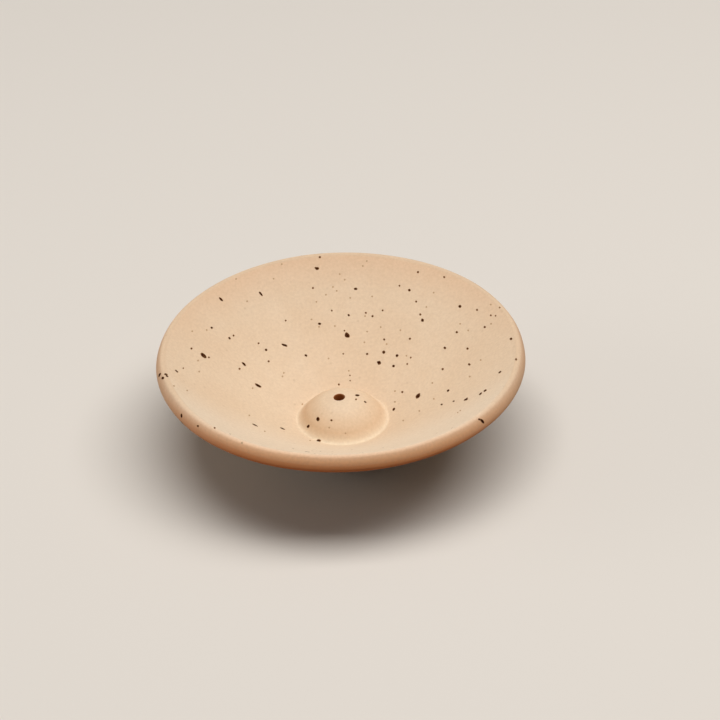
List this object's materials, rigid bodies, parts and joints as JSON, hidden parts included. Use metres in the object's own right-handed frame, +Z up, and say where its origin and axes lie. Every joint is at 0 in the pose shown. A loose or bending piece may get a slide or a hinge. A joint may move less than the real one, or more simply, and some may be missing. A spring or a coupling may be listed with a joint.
{
  "type": "incense stick holder",
  "caption": "Shallow round stoneware dish with a thick rounded lip and a domed boss in its middle, pierced to hold an incense stick upright while the dish catches the ash.",
  "frame": {"origin": "on the dish's axis, on the plane that the foot ring stands on", "axes": "+Z up along the dish's axis, +X towards the viewer's right, +Y away from the viewer of the front view"},
  "size_m": [0.115, 0.115, 0.034],
  "materials": {
    "speckled_clay": "matte unglazed fired clay with dark iron specks",
    "joining_slip": "matte fired slip, wiped smooth"
  },
  "bodies": {
    "root": {"dish": "speckled_clay", "stick_boss": "speckled_clay", "foot_ring": "speckled_clay", "boss_slip": "joining_slip", "foot_slip": "joining_slip"}
  },
  "joints": []
}
